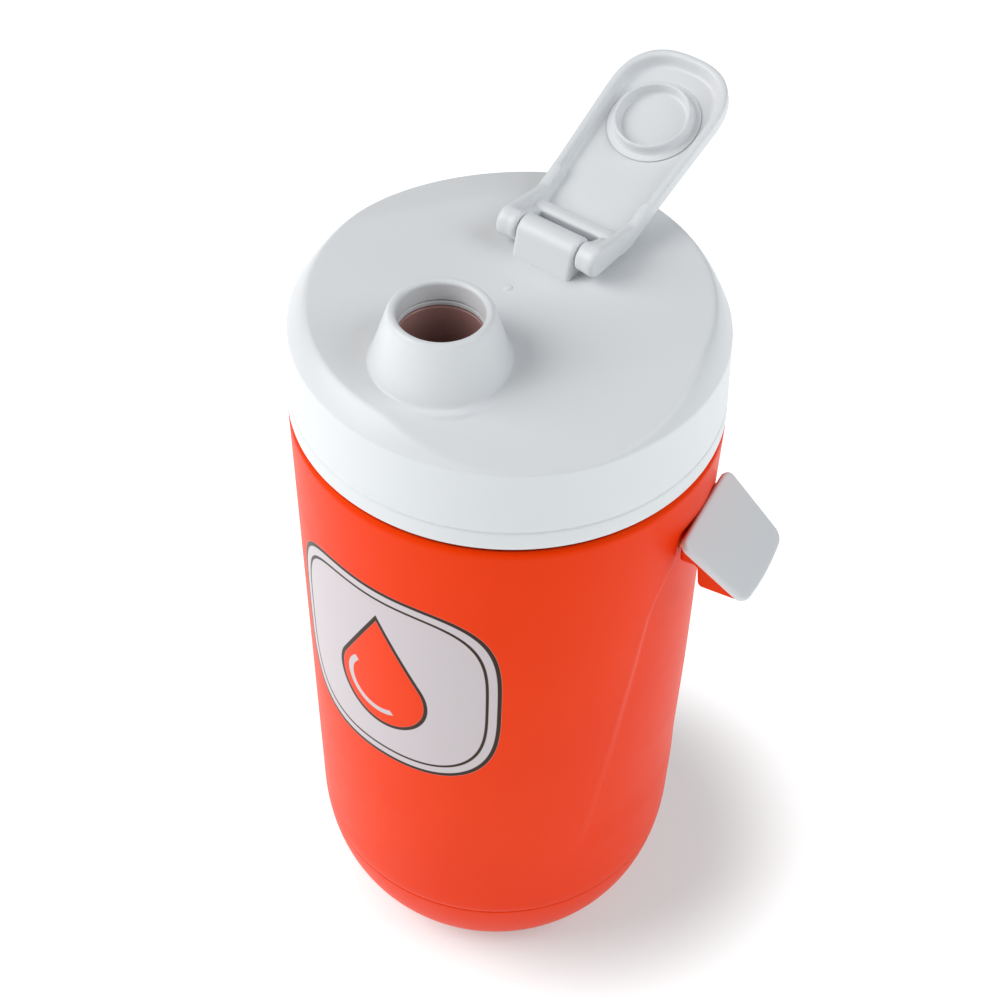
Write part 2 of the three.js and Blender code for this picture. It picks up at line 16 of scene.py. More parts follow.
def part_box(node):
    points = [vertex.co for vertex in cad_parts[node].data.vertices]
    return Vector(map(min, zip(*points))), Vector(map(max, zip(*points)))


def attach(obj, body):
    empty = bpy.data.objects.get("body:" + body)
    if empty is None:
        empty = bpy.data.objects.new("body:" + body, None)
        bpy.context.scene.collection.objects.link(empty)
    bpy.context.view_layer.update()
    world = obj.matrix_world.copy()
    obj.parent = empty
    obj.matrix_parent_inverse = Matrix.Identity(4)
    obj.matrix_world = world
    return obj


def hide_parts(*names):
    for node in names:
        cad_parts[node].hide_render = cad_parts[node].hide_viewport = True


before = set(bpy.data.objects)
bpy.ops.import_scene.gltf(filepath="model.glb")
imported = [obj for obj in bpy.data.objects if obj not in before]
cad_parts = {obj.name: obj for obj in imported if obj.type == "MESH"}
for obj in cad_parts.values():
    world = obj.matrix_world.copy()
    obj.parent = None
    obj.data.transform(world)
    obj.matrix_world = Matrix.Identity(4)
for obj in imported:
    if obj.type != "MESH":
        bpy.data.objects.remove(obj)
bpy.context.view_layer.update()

# %% [markdown]
# ## Where things are
# Sizes are in millimetres while a piece is being shaped, and a piece becomes metres when it is made.
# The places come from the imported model's boxes, so a change there moves everything here with it.

# %% Measure the frame
MM = 0.001


def box_mm(node):
    low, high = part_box(node)
    return np.array(low) / MM, np.array(high) / MM


def middle(node):
    low, high = box_mm(node)
    return (low + high) / 2


SEAM = box_mm("lid_shell")[0][2]                # lower edge of the lid
SPOUT_Y = middle("spout")[1]
SPOUT_TOP = box_mm("spout")[1][2] - SEAM
HINGE = middle("hinge_pin")
inserts = (middle("hook_insert_1") + middle("hook_insert_2")) / 2
HOOK_TURN = math.atan2(inserts[1], inserts[0])  # the hook's direction from +X
SHELL_LOW, SHELL_HIGH = box_mm("outer_shell")[0][2], box_mm("outer_shell")[1][2]
BASE_SEAM = box_mm("base_cup")[1][2] - 7        # the base cup's spigot reaches 7 mm into the shell
HEEL, HEEL_R, FOOT_R, TOP_R = 42.0, 64.6, 45.2, 68.0
CAP_OPEN = math.radians(23.5)
print(f"seam {SEAM:.1f}, spout at y {SPOUT_Y:.1f}, hinge {HINGE.round(1)}, "
      f"hook at {math.degrees(HOOK_TURN):.1f} degrees")

# %% [markdown]
# ## One class for the sockets of a node tree
# Shader maths and shape maths are both nodes joined by links. A small class wraps a socket and overloads
# the operators, so `1 - mask` or `radius * angle` adds the Math nodes by itself, and one method makes
# every other node. The same class serves the materials and the Geometry Nodes trees.

# %% The socket class
class Socket:
    """A socket of a node tree that can be used in a Python expression."""

    def __init__(self, tree, socket=None):
        self.tree = tree
        self.socket = socket

    def node(self, kind, settings=None, values=None, output=0):
        """Adds a node: its settings first, then the values or links of its sockets."""
        made = self.tree.nodes.new(kind)
        for name, setting in (settings or {}).items():
            setattr(made, name, setting)
        for key, value in (values or {}).items():
            if isinstance(key, int):
                target = made.inputs[key]
            else:
                known = [s for s in made.inputs if s.identifier == key]
                target = (known or [s for s in made.inputs if s.name == key and s.enabled])[0]
            if isinstance(value, Socket):
                self.tree.links.new(value.socket, target)
            else:
                target.default_value = value
        if isinstance(output, int):
            return Socket(self.tree, made.outputs[output])
        named = [s for s in made.outputs if s.identifier == output]
        return Socket(self.tree, (named or [s for s in made.outputs if s.name == output])[0])

    def maths(self, operation, *others):
        values = dict(enumerate((self, *others)))
        return self.node("ShaderNodeMath", {"operation": operation}, values)

    def __add__(self, other):
        return self.maths("ADD", other)

    __radd__ = __add__

    def __sub__(self, other):
        return self.maths("SUBTRACT", other)

    def __rsub__(self, other):
        return (self * -1).maths("ADD", other)

    def __mul__(self, other):
        return self.maths("MULTIPLY", other)

    __rmul__ = __mul__

    def __truediv__(self, other):
        return self.maths("DIVIDE", other)

    def __rtruediv__(self, other):
        return (self ** -1) * other

    def __pow__(self, other):
        return self.maths("POWER", other)

    def __neg__(self):
        return self * -1

    def __abs__(self):
        return self.maths("ABSOLUTE")

    def least(self, other):
        return self.maths("MINIMUM", other)

    def most(self, other):
        return self.maths("MAXIMUM", other)

    def root(self):
        return self.maths("SQRT")

    def fade(self, start, end):
        """0 at start and 1 at end, smoothly between them."""
        settings = {"interpolation_type": "SMOOTHSTEP"}
        return self.node("ShaderNodeMapRange", settings, {"Value": self, "From Min": start, "From Max": end})

    def axes(self):
        split = self.tree.nodes.new("ShaderNodeSeparateXYZ")
        self.tree.links.new(self.socket, split.inputs[0])
        return [Socket(self.tree, s) for s in split.outputs]


def joined(x, y, z):
    """Three sockets as one vector."""
    return x.node("ShaderNodeCombineXYZ", {}, {0: x, 1: y, 2: z})


print("sockets can be added, subtracted, multiplied and divided")

# %% [markdown]
# ## Finishes
# A moulded plastic is never one flat colour. It has a fine spark-eroded grain from the mould, a slow drift
# of shade where the wall cools unevenly, and hairline rubs where it is handled, which are a little
# rougher than the rest. Each finish is one function that returns only what varies over the surface.
# What is the same everywhere is set on the shader itself.

# %% A finish from a function
def finish(name, varying, **constants):
    """A material whose shader takes its constants by name and its varying sockets from a function."""
    material = bpy.data.materials.new(name)
    material.use_nodes = True
    tree = material.node_tree
    tree.nodes.clear()
    shader = tree.nodes.new("ShaderNodeBsdfPrincipled")
    output = tree.nodes.new("ShaderNodeOutputMaterial")
    tree.links.new(shader.outputs[0], output.inputs[0])
    for key, value in constants.items():
        shader.inputs[key.replace("_", " ")].default_value = value
    place = Socket(tree).node("ShaderNodeTexCoord", {}, {}, "Object")
    for key, value in varying(place).items():
        tree.links.new(value.socket, shader.inputs[key])
    return material


def noise(place, scale, detail=2.0, roughness=0.5, stretch=None):
    """A noise value around 0.5. Scale is in repeats for each metre."""
    if stretch:
        place = place.node("ShaderNodeMapping", {}, {"Vector": place, "Scale": stretch})
    return place.node("ShaderNodeTexNoise", {}, {
        "Vector": place, "Scale": scale, "Detail": detail, "Roughness": roughness})


def blend(mask, below, above):
    """One colour where the mask is 0 and another where it is 1."""
    def coloured(value):
        return value if isinstance(value, Socket) else (*value, 1)
    return mask.node("ShaderNodeMix", {"data_type": "RGBA"}, {
        "Factor_Float": mask, "A_Color": coloured(below), "B_Color": coloured(above)}, "Result_Color")


def raised(height, distance, strength=1.0):
    return height.node("ShaderNodeBump", {}, {
        "Height": height, "Distance": distance, "Strength": strength})


print("a finish is a function of the place on the piece")

# %% Rubs, grain and drift
def hairlines(place, turn, scale=60):
    """Thin rubs along one direction, 1 on a rub and 0 between them."""
    turned_place = place.node("ShaderNodeMapping", {}, {"Vector": place, "Rotation": turn})
    streak = noise(turned_place, scale, 3.0, 0.6, (1.0, 26.0, 26.0))
    patch = noise(place, 24, 1.0)
    return streak.fade(0.66, 0.72) * patch.fade(0.5, 0.68)


def grain(place, scale=1500):
    """The fine texture that a mould leaves."""
    return noise(place, scale, 2.0, 0.6)


print("the rubs and the grain are ready")

# %% [markdown]
# ## The mark on the body
# The body carries a printed mark: a white badge with soft corners, a dark edge and a drop of water in the
# jug's own orange. It is drawn with distances, as a sign writer would set it out: a badge, a line round
# it, and a drop made of a circle and the cone that touches it. The flat drawing is wrapped round the body
# by using the arc's length as its width.

# %% Draw the mark
MARK_TURN = math.radians(0.5)       # from the front, towards the hook
MARK_Z = 0.154
MARK_R = 0.042
MARK_CORNER = 3.4                   # 2 is a circle, and a higher number is nearer to a square
MARK_SOFT = 0.00012                 # half the width over which the ink's edge fades
BODY_R_AT_MARK = 0.0668
DROP_LOW, DROP_R, DROP_TIP = -0.0072, 0.0165, 0.0268
DROP_LINE_R, DROP_LINE_TIP = 0.0179, 0.0296


def drop(across, up, round_r, tip):
    """1 inside a drop whose round end is centred at DROP_LOW and whose point is at tip."""
    lean = math.asin(round_r / (tip - DROP_LOW))
    ball = (across * across + (up - DROP_LOW) * (up - DROP_LOW)).root() - round_r
    cone = abs(across) * math.cos(lean) + (up - tip) * math.sin(lean)
    foot = (DROP_LOW + round_r * math.sin(lean)) - up
    return ball.least(cone.most(foot)).fade(MARK_SOFT, -MARK_SOFT)


def ring_line(reach, at, half_width):
    """1 on a line that stands at one distance, and 0 beside it."""
    return abs(reach - at).fade(half_width + MARK_SOFT, half_width - MARK_SOFT)


def badge_mark(place):
    """The masks of the badge, its dark lines and the drop, without the drop's glint."""
    x, y, z = place.axes()
    across = (x.maths("ARCTAN2", -y) - MARK_TURN) * BODY_R_AT_MARK
    up = z - MARK_Z
    reach = (abs(across) ** MARK_CORNER + abs(up) ** MARK_CORNER) ** (1 / MARK_CORNER)
    badge = reach.fade(MARK_R + MARK_SOFT, MARK_R - MARK_SOFT) * y.fade(0.0, -0.01)
    edge = ring_line(reach, MARK_R - 0.0007, 0.0007)
    line = ring_line(reach, MARK_R - 0.0046, 0.0005)
    heart = drop(across, up, DROP_R, DROP_TIP)
    rim = drop(across, up, DROP_LINE_R, DROP_LINE_TIP) * (1 - heart)
    glint = ring_line(((across + 0.0012) ** 2 + (up + 0.0066) ** 2).root(), 0.0115, 0.0011)
    glint = glint * (across + up * 0.75).fade(-0.0078, -0.0084)
    return badge, edge.most(line).most(rim) * badge, heart * (1 - glint) * y.fade(0.0, -0.01)


print("the mark is", MARK_R * 2 / MM, "mm across")

# %% [markdown]
# ## Orange plastic and the linings
# The body, the base and the hook are the same orange with a satin skin, and its drift of shade is slow and
# small. The linings inside the jug and the lid are a warm grey, and glossier, because food meets them.

# %% Orange finishes
ORANGE = (0.92, 0.043, 0.002)
ORANGE_DEEP = (0.86, 0.034, 0.0015)
MARK_WHITE = (0.63, 0.57, 0.60)
MARK_DARK = (0.035, 0.018, 0.017)


def orange_skin(place, marked=False):
    drift = noise(place, 9, 2.0)
    rubs = hairlines(place, (0.2, 0.5, 0.3)).most(hairlines(place, (1.1, 0.2, 0.9), 45))
    colour = blend(drift.fade(0.3, 0.75), ORANGE, ORANGE_DEEP)
    colour = blend(rubs * 0.12, colour, (0.95, 0.16, 0.07))
    rough = 0.40 + rubs * 0.12 + (noise(place, 120) - 0.5) * 0.08
    height = grain(place) + noise(place, 420, 1.0) * 0.6
    if marked:
        badge, dark, heart = badge_mark(place)
        colour = blend(badge, colour, MARK_WHITE)
        colour = blend(heart, colour, ORANGE)
        colour = blend(dark, colour, MARK_DARK)
        rough = rough - badge * 0.06
        height = height * (1 - badge * 0.6) + badge * 0.8
    return {"Base Color": colour, "Roughness": rough, "Normal": raised(height, 0.00006, 0.55)}


SHEEN = {"Specular_IOR_Level": 0.12, "Specular_Tint": (1.0, 0.72, 0.06, 1.0)}
orange = finish("satin_orange", orange_skin, **SHEEN)
orange_marked = finish("satin_orange_with_mark", lambda place: orange_skin(place, True), **SHEEN)


def lining_skin(place):
    swirl = noise(place, 30, 3.0)
    colour = blend(swirl.fade(0.35, 0.7), (0.37, 0.20, 0.18), (0.31, 0.17, 0.15))
    height = grain(place, 900)
    return {"Base Color": colour, "Roughness": 0.22 + swirl * 0.1, "Normal": raised(height, 0.00002, 0.4)}


lining = finish("glossy_lining", lining_skin)
print("made", orange.name, orange_marked.name, lining.name)

# %% [markdown]
# ## White plastic, foam, rubber and metal
# The lid, the spout and the cap are a cool white with the same kind of grain, finer than the body's. The
# foam shows its cells, the rubber is dusty and matt, and the screws and inserts keep the rings of the lathe.

# %% White plastic
WHITE = (0.77, 0.78, 0.79)


def white_skin(place):
    drift = noise(place, 14, 2.0)
    rubs = hairlines(place, (0.0, 0.3, 0.7), 70).most(hairlines(place, (0.4, 1.2, 0.1), 50))
    colour = blend(drift.fade(0.3, 0.75), WHITE, (0.75, 0.765, 0.78))
    colour = blend(rubs * 0.15, colour, (0.62, 0.63, 0.64))
    rough = 0.36 + rubs * 0.15 + (noise(place, 160) - 0.5) * 0.06
    height = grain(place, 1900) + noise(place, 500, 1.0) * 0.5
    return {"Base Color": colour, "Roughness": rough, "Normal": raised(height, 0.00005, 0.45)}


white = finish("satin_white", white_skin, Specular_IOR_Level=0.45, Subsurface_Weight=0.04,
               Subsurface_Radius=(0.004, 0.004, 0.004))

# %% Foam, rubber, steel and brass
def foam_skin(place):
    cells = place.node("ShaderNodeTexVoronoi", {"feature": "DISTANCE_TO_EDGE"}, {
        "Vector": place, "Scale": 900})
    tint = noise(place, 60, 3.0)
    colour = blend(tint.fade(0.35, 0.7), (0.74, 0.62, 0.36), (0.62, 0.49, 0.26))
    colour = blend(cells.fade(0.12, 0.0) * 0.5, colour, (0.85, 0.77, 0.55))
    return {"Base Color": colour, "Roughness": 0.9 + tint * 0.1, "Normal": raised(cells, 0.0004, 0.8)}


def rubber_skin(place):
    dust = noise(place, 300, 3.0)
    colour = blend(dust.fade(0.4, 0.75), (0.62, 0.63, 0.64), (0.72, 0.73, 0.73))
    return {"Base Color": colour, "Roughness": 0.6 + dust * 0.25, "Normal": raised(dust, 0.00008, 0.5)}


def lathe_skin(deep, bright):
    def skin(place):
        rings = noise(place, 700, 2.0, 0.5, (6.0, 1.0, 1.0))
        colour = blend(rings.fade(0.35, 0.65), deep, bright)
        return {"Base Color": colour, "Roughness": 0.22 + rings * 0.2, "Normal": raised(rings, 0.00002, 0.6)}
    return skin


foam = finish("cellular_foam", foam_skin)
rubber = finish("pale_rubber", rubber_skin)
steel = finish("turned_steel", lathe_skin((0.46, 0.47, 0.48), (0.66, 0.67, 0.68)), Metallic=1.0)
brass = finish("turned_brass", lathe_skin((0.62, 0.42, 0.14), (0.83, 0.62, 0.26)), Metallic=1.0)
print("made", white.name, foam.name, rubber.name, steel.name, brass.name)

# %% [markdown]
# ## Making a piece from points
# Every piece ends the same way: its points become metres in the frame, its faces are smooth, it takes its
# finish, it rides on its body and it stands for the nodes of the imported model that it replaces.

# %% Make a piece
pieces = {}


def piece_of(name, points, faces, material, body, nodes, slot, turn=None):
    """A mesh piece from points in millimetres, turned into place by an optional matrix."""
    points = np.asarray(points, float)
    if turn is not None:
        grown = np.c_[points, np.ones(len(points))]
        points = (grown @ np.array(turn).T)[:, :3]
    mesh = bpy.data.meshes.new(name)
    mesh.from_pydata((points * MM).tolist(), [], faces)
    return settle(bpy.data.objects.new(name, mesh), material, body, nodes)


def settle(piece, material, body, nodes):
    """Gives a finished object its smooth faces, finish, body and nodes."""
    mesh = piece.data
    mesh.polygons.foreach_set("use_smooth", np.ones(len(mesh.polygons), bool))
    mesh.materials.clear()
    mesh.materials.append(material)
    mesh.update()
    if piece.name not in bpy.context.scene.objects:
        bpy.context.scene.collection.objects.link(piece)
    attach(piece, body)
    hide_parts(*nodes)
    triangles = sum(len(p.vertices) - 2 for p in mesh.polygons)
    pieces[piece.name] = triangles
    print(f"{piece.name}: {triangles} triangles, for {', '.join(nodes)}")
    return piece


# %% [markdown]
# ## Turned pieces
# A turned piece is a section swept round an axis. Real mouldings have no sharp corners, so each corner of
# the section is first rounded by a short curve, and only then swept.

# %% Round a section and turn it
def soft_corners(section, radius, steps=4, closed=True):
    """The section with each corner replaced by a short curve."""
    section = [np.array(p, float) for p in section]
    count = len(section)
    rounded = []
    for i, corner in enumerate(section):
        if not closed and i in (0, count - 1):
            rounded.append(corner)
            continue
        before, after = section[i - 1], section[(i + 1) % count]
        reach = [min(radius, 0.45 * np.linalg.norm(other - corner)) for other in (before, after)]
        start = corner + (before - corner) / np.linalg.norm(before - corner) * reach[0]
        end = corner + (after - corner) / np.linalg.norm(after - corner) * reach[1]
        for step in range(steps + 1):
            t = step / steps
            rounded.append((1 - t) ** 2 * start + 2 * t * (1 - t) * corner + t ** 2 * end)
    return rounded


def arc(cx, cy, rx, ry, start, end, steps):
    turns = np.radians(np.linspace(start, end, steps + 1))
    return [(cx + rx * math.cos(t), cy + ry * math.sin(t)) for t in turns]


def loops_to_faces(rows, columns, closed):
    """Quads between rows of points, each row a closed loop. The last row joins the first if closed."""
    faces = []
    for row in range(rows if closed else rows - 1):
        above = (row + 1) % rows
        for column in range(columns):
            beside = (column + 1) % columns
            faces.append((row * columns + column, row * columns + beside,
                          above * columns + beside, above * columns + column))
    return faces


def turned(section, radius=0.4, columns=160, steps=4):
    """Points and faces of a section turned about Z. The section runs with the material on its left."""
    on_axis = section[0][0] == 0
    section = soft_corners(section, radius, steps, closed=not on_axis)
    turns = np.linspace(0, 2 * math.pi, columns, endpoint=False)
    rings = section[1:-1] if on_axis else section
    points = [(r * math.cos(t), r * math.sin(t), z) for r, z in rings for t in turns]
    faces = loops_to_faces(len(rings), columns, not on_axis)
    if on_axis:
        foot, head = len(points), len(points) + 1
        points += [(0, 0, section[0][1]), (0, 0, section[-1][1])]
        top = (len(rings) - 1) * columns
        for column in range(columns):
            beside = (column + 1) % columns
            faces.append((foot, beside, column))
            faces.append((top + column, top + beside, head))
    return points, faces


def merged(*shapes):
    """Several shapes as one."""
    points, faces = [], []
    for more_points, more_faces in shapes:
        faces += [tuple(index + len(points) for index in face) for face in more_faces]
        points += [tuple(p) for p in more_points]
    return points, faces


# %% [markdown]
# ## Moulded pieces
# The cap, the hinge block and the hook are moulded shapes with soft edges everywhere. They are described
# as a maker would talk about them: a tray, without its hollow, with two arms, without a bore. Each word is
# a distance to a surface, and the joints between them have their own small radii. The field of
# distances is smoothed a little, as a mould polisher does, and then a net of faces is drawn over it.

# %% Distances that can be joined and cut
def both(a, b, r=0.0):
    """What two shapes share, with the edge between them rounded."""
    if r == 0:
        return np.maximum(a, b)
    return np.minimum(np.maximum(a, b), -r) + np.hypot(np.maximum(a + r, 0), np.maximum(b + r, 0))


def either(a, b, r=0.0):
    return -both(-a, -b, r)


def without(a, b, r=0.0):
    return both(a, -b, r)


def outline(corners, u, v):
    """The distance to a closed outline, less than 0 inside it."""
    u, v = np.broadcast_arrays(u, v)
    nearest = np.full(u.shape, np.inf)
    inside = np.zeros(u.shape, bool)
    for (u0, v0), (u1, v1) in zip(corners, corners[1:] + corners[:1]):
        du, dv = u1 - u0, v1 - v0
        t = np.clip(((u - u0) * du + (v - v0) * dv) / (du * du + dv * dv), 0, 1)
        nearest = np.minimum(nearest, np.hypot(u - u0 - t * du, v - v0 - t * dv))
        if dv:
            crosses = (v0 > v) != (v1 > v)
            inside ^= crosses & (u < u0 + du * (v - v0) / dv)
    return np.where(inside, -nearest, nearest)


# %% Draw a net over a field
def smoothed(field, rounds):
    for _ in range(rounds):
        for axis in range(3):
            f = np.moveaxis(field, axis, 0)
            f[1:-1] = (f[:-2] + 2 * f[1:-1] + f[2:]) / 4
    return field


def sample(field, at):
    """The field between its grid points."""
    base = np.clip(at.astype(int), 0, np.array(field.shape) - 2)
    t = at - base
    total = np.zeros(len(at))
    for i in (0, 1):
        for j in (0, 1):
            for k in (0, 1):
                share = (abs(1 - i - t[:, 0]) * abs(1 - j - t[:, 1]) * abs(1 - k - t[:, 2]))
                total += share * field[base[:, 0] + i, base[:, 1] + j, base[:, 2] + k]
    return total


def net(field, low, step):
    """A closed mesh of quads over the surface where the field is 0."""
    size = np.array(field.shape) - 1
    total = np.zeros((*size, 3))
    count = np.zeros(size)
    crossings = []
    for axis in range(3):
        order = (axis, (axis + 1) % 3, (axis + 2) % 3)
        f = np.transpose(field, order)
        a, b = f[:-1], f[1:]
        cross = (a < 0) != (b < 0)
        t = np.where(cross, a / np.where(cross, a - b, 1), 0)
        crossings.append((order, cross, a < 0))
        sums, counts = np.transpose(total, (*order, 3)), np.transpose(count, order)
        n = (size[order[1]], size[order[2]])
        for p in (0, 1):
            for q in (0, 1):
                c = cross[:, p:p + n[0], q:q + n[1]]
                sums[..., axis] += t[:, p:p + n[0], q:q + n[1]] * c
                sums[..., order[1]] += p * c
                sums[..., order[2]] += q * c
                counts += c
    used = count > 0
    number = np.full(size, -1)
    number[used] = np.arange(used.sum())
    at = np.argwhere(used) + total[used] / count[used][:, None]
    for _ in range(3):
        value = sample(field, at)
        slope = np.stack([(sample(field, at + d) - sample(field, at - d)) for d in np.eye(3) * 0.5], 1)
        at -= 0.8 * value[:, None] * slope / np.maximum((slope ** 2).sum(1), 1e-9)[:, None]
    faces = []
    for order, cross, first_inside in crossings:
        cells = np.transpose(number, order)
        i, j, k = np.nonzero(cross[:, 1:-1, 1:-1])
        j, k = j + 1, k + 1
        quad = np.stack([cells[i, j - 1, k - 1], cells[i, j, k - 1], cells[i, j, k], cells[i, j - 1, k]], 1)
        flip = ~first_inside[i, j, k]
        quad[flip] = quad[flip][:, ::-1]
        faces += quad.tolist()
    return at * step + low, faces


def moulded(rule, low, high, step=0.4, rounds=2):
    """Points and faces of a shape given by a rule of x, y and z in millimetres."""
    low = np.array(low, float) - 3 * step
    counts = np.ceil((np.array(high) + 3 * step - low) / step).astype(int) + 1
    x, y, z = [low[i] + step * np.arange(counts[i]).reshape([-1 if i == j else 1 for j in range(3)])
               for i in range(3)]
    field = np.array(np.broadcast_to(rule(x, y, z), tuple(counts)), float)
    return net(smoothed(field, rounds), low, step)


print("shapes can be turned or moulded")

# %% [markdown]
# ## The body's outer wall
# The wall follows one rule: it leans in by a few millimetres from the lid down to a rounded heel. Under
# the hook it steps back into a shallow panel that widens downwards and fades. A Geometry Nodes tree
# bends a flat grid by that rule, with more columns near the hook, where the panel's edge needs them.
# The wall's thickness is added afterwards, once the grid's seam is closed.

# %% The tree that bends a grid into the wall
def tree_with(name, inputs):
    """A Geometry Nodes tree with named number inputs, and the sockets that read them."""
    tree = bpy.data.node_groups.new(name, "GeometryNodeTree")
    tree.interface.new_socket("Geometry", in_out="INPUT", socket_type="NodeSocketGeometry")
    tree.interface.new_socket("Geometry", in_out="OUTPUT", socket_type="NodeSocketGeometry")
    for label, value in inputs.items():
        kind = "NodeSocketInt" if isinstance(value, int) else "NodeSocketFloat"
        tree.interface.new_socket(label, in_out="INPUT", socket_type=kind).default_value = value
    tree.interface.new_socket("Finish", in_out="INPUT", socket_type="NodeSocketMaterial")
    group = tree.nodes.new("NodeGroupInput")
    return tree, {s.name: Socket(tree, s) for s in group.outputs if s.name}


def finish_tree(tree, geometry, material):
    """Ends a tree: instances made real, smooth faces and the finish."""
    real = geometry.node("GeometryNodeRealizeInstances", {}, {"Geometry": geometry})
    smooth = real.node("GeometryNodeSetShadeSmooth", {}, {0: real})
    done = smooth.node("GeometryNodeSetMaterial", {}, {"Geometry": smooth, "Material": material})
    output = tree.nodes.new("NodeGroupOutput")
    tree.links.new(done.socket, output.inputs[0])


def grown(name, tree, values, extra=()):
    """A plain mesh object from a tree and its values. Extra modifiers follow the tree."""
    carrier = bpy.data.objects.new(name + "_carrier", bpy.data.meshes.new(name + "_carrier"))
    bpy.context.scene.collection.objects.link(carrier)
    modifier = carrier.modifiers.new("grow", "NODES")
    modifier.node_group = tree
    known = {item.name: item.identifier for item in tree.interface.items_tree
             if item.item_type == "SOCKET" and item.in_out == "INPUT"}
    for label, value in values.items():
        modifier[known[label]] = value
    for kind, settings in extra:
        more = carrier.modifiers.new(kind.lower(), kind)
        for key, value in settings.items():
            setattr(more, key, value)
    bpy.context.view_layer.update()
    evaluated = carrier.evaluated_get(bpy.context.evaluated_depsgraph_get())
    mesh = bpy.data.meshes.new_from_object(evaluated)
    mesh.name = name
    bpy.data.objects.remove(carrier)
    return bpy.data.objects.new(name, mesh)


tree, read = tree_with("bent_wall", {
    "Columns": 301, "Rows": 126, "Low": SHELL_LOW * MM, "High": SHELL_HIGH * MM, "Seam": SEAM * MM,
    "Heel": HEEL * MM, "Foot Radius": FOOT_R * MM, "Heel Radius": HEEL_R * MM, "Top Radius": TOP_R * MM,
    "Panel Depth": 0.0016, "Panel Turn": HOOK_TURN})
grid = Socket(tree).node("GeometryNodeMeshGrid", {}, {
    "Size X": 1.0, "Size Y": 1.0, "Vertices X": read["Columns"], "Vertices Y": read["Rows"]}, "Mesh")
u, v, _ = Socket(tree).node("GeometryNodeInputPosition").axes()
flat_turn = (u + 0.5) * (2 * math.pi)
turn = flat_turn - (flat_turn - read["Panel Turn"]).maths("SINE") * 0.5
z = read["Low"] + (v + 0.5) * (read["High"] - read["Low"])
drop_in = (read["Heel"] - z).most(0.0) / read["Heel"]
heel_r = read["Foot Radius"] + (read["Heel Radius"] - read["Foot Radius"]) * (1 - drop_in * drop_in).root()
slope = (read["Top Radius"] - read["Heel Radius"]) / (read["Seam"] - read["Heel"])
wall_r = heel_r + slope * (z - read["Heel"]).most(0.0)

# %% The panel under the hook
aside = abs((turn - read["Panel Turn"] + math.pi).maths("FLOORED_MODULO", 2 * math.pi) - math.pi)
aside = aside * (180 / math.pi)
narrow = (z - 0.176).most(0.0) * 1000
half = (46.6 - z * 143.8 - narrow * narrow * 0.0138).most(12.2)
inside = aside.fade(half + 1.5, half - 1.5)
depth = z.fade(0.104, 0.190) * 0.72 + z.fade(0.060, 0.078) * 0.28
depth = depth * z.fade(0.2105, 0.2055)
rounded_top = (z - (read["High"] - 0.0008)).most(0.0) * 0.9
radius = wall_r - read["Panel Depth"] * depth * inside - rounded_top
bent = grid.node("GeometryNodeSetPosition", {}, {
    "Geometry": grid, "Position": joined(radius * turn.maths("COSINE"), radius * turn.maths("SINE"), z)})
closed = bent.node("GeometryNodeMergeByDistance", {}, {"Geometry": bent, "Distance": 0.00001})
finish_tree(tree, closed, read["Finish"])
shell = grown("outer_wall", tree, {"Finish": orange_marked}, extra=[
    ("SOLIDIFY", {"thickness": 0.003, "offset": -1.0})])
settle(shell, orange_marked, "jug", ["outer_shell"])

# %% [markdown]
# ## The base cup
# The jug stands on a turned cup that plugs into the shell. Its edge makes the fine line round the heel.

# %% Turn the base cup
def heel_radius(z):
    rise = max(HEEL - z, 0) / HEEL
    return FOOT_R + (HEEL_R - FOOT_R) * math.sqrt(1 - rise * rise)


spigot = heel_radius(BASE_SEAM) - 3.4
outside = [p for p in arc(FOOT_R, HEEL, HEEL_R - FOOT_R, HEEL, -90, -12, 28) if p[1] < BASE_SEAM - 0.8]
inner_bowl = arc(FOOT_R, HEEL, HEEL_R - FOOT_R - 3, HEEL - 3, -14, -90, 20)
inside_wall = [p for p in inner_bowl if p[1] < BASE_SEAM - 3]
cup = turned([
    (0, 0), (30, 0), (31, 1), (36, 1), (37, 0), *outside, (heel_radius(BASE_SEAM), BASE_SEAM),
    (spigot, BASE_SEAM), (spigot, BASE_SEAM + 7), (spigot - 2, BASE_SEAM + 7), (spigot - 2, BASE_SEAM - 1),
    *inside_wall, (0, 3)], 0.5, 220)
piece_of("base", *cup, orange, "jug", ["base_cup"], "orange_plastic")

# %% [markdown]
# ## The lid and its spout
# The lid and the spout are one moulding. A raised band runs slantwise over the top, leaning up towards
# the hinge, and the top slopes away on each side of it. A small round ledge keeps the spout's foot level.
# The whole skin is one net of loops that starts in the spout's hole, climbs over the rim, runs down the
# cone, spreads out over the top to the shoulder, drops down the skirt, and returns along the inside.

# %% The lid's height
CREASE, PLATEAU, RISE = 30.3, 39.5, 5 / 122
SHOULDER_R, CREASE_R = 60.3, 66.7
BAND_SIDES = ((-38, 38.5), (142, 46.0))      # the way each slope faces, in degrees, and where it starts
BAND_SLOPE = 0.27
LEDGE_R, LEDGE_SLOPE = 23.4, 1.8             # the level ledge round the spout's foot


def softly_over(value, width):
    """The part of a value above 0, with a soft start."""
    return (value + np.sqrt(value ** 2 + width ** 2)) / 2


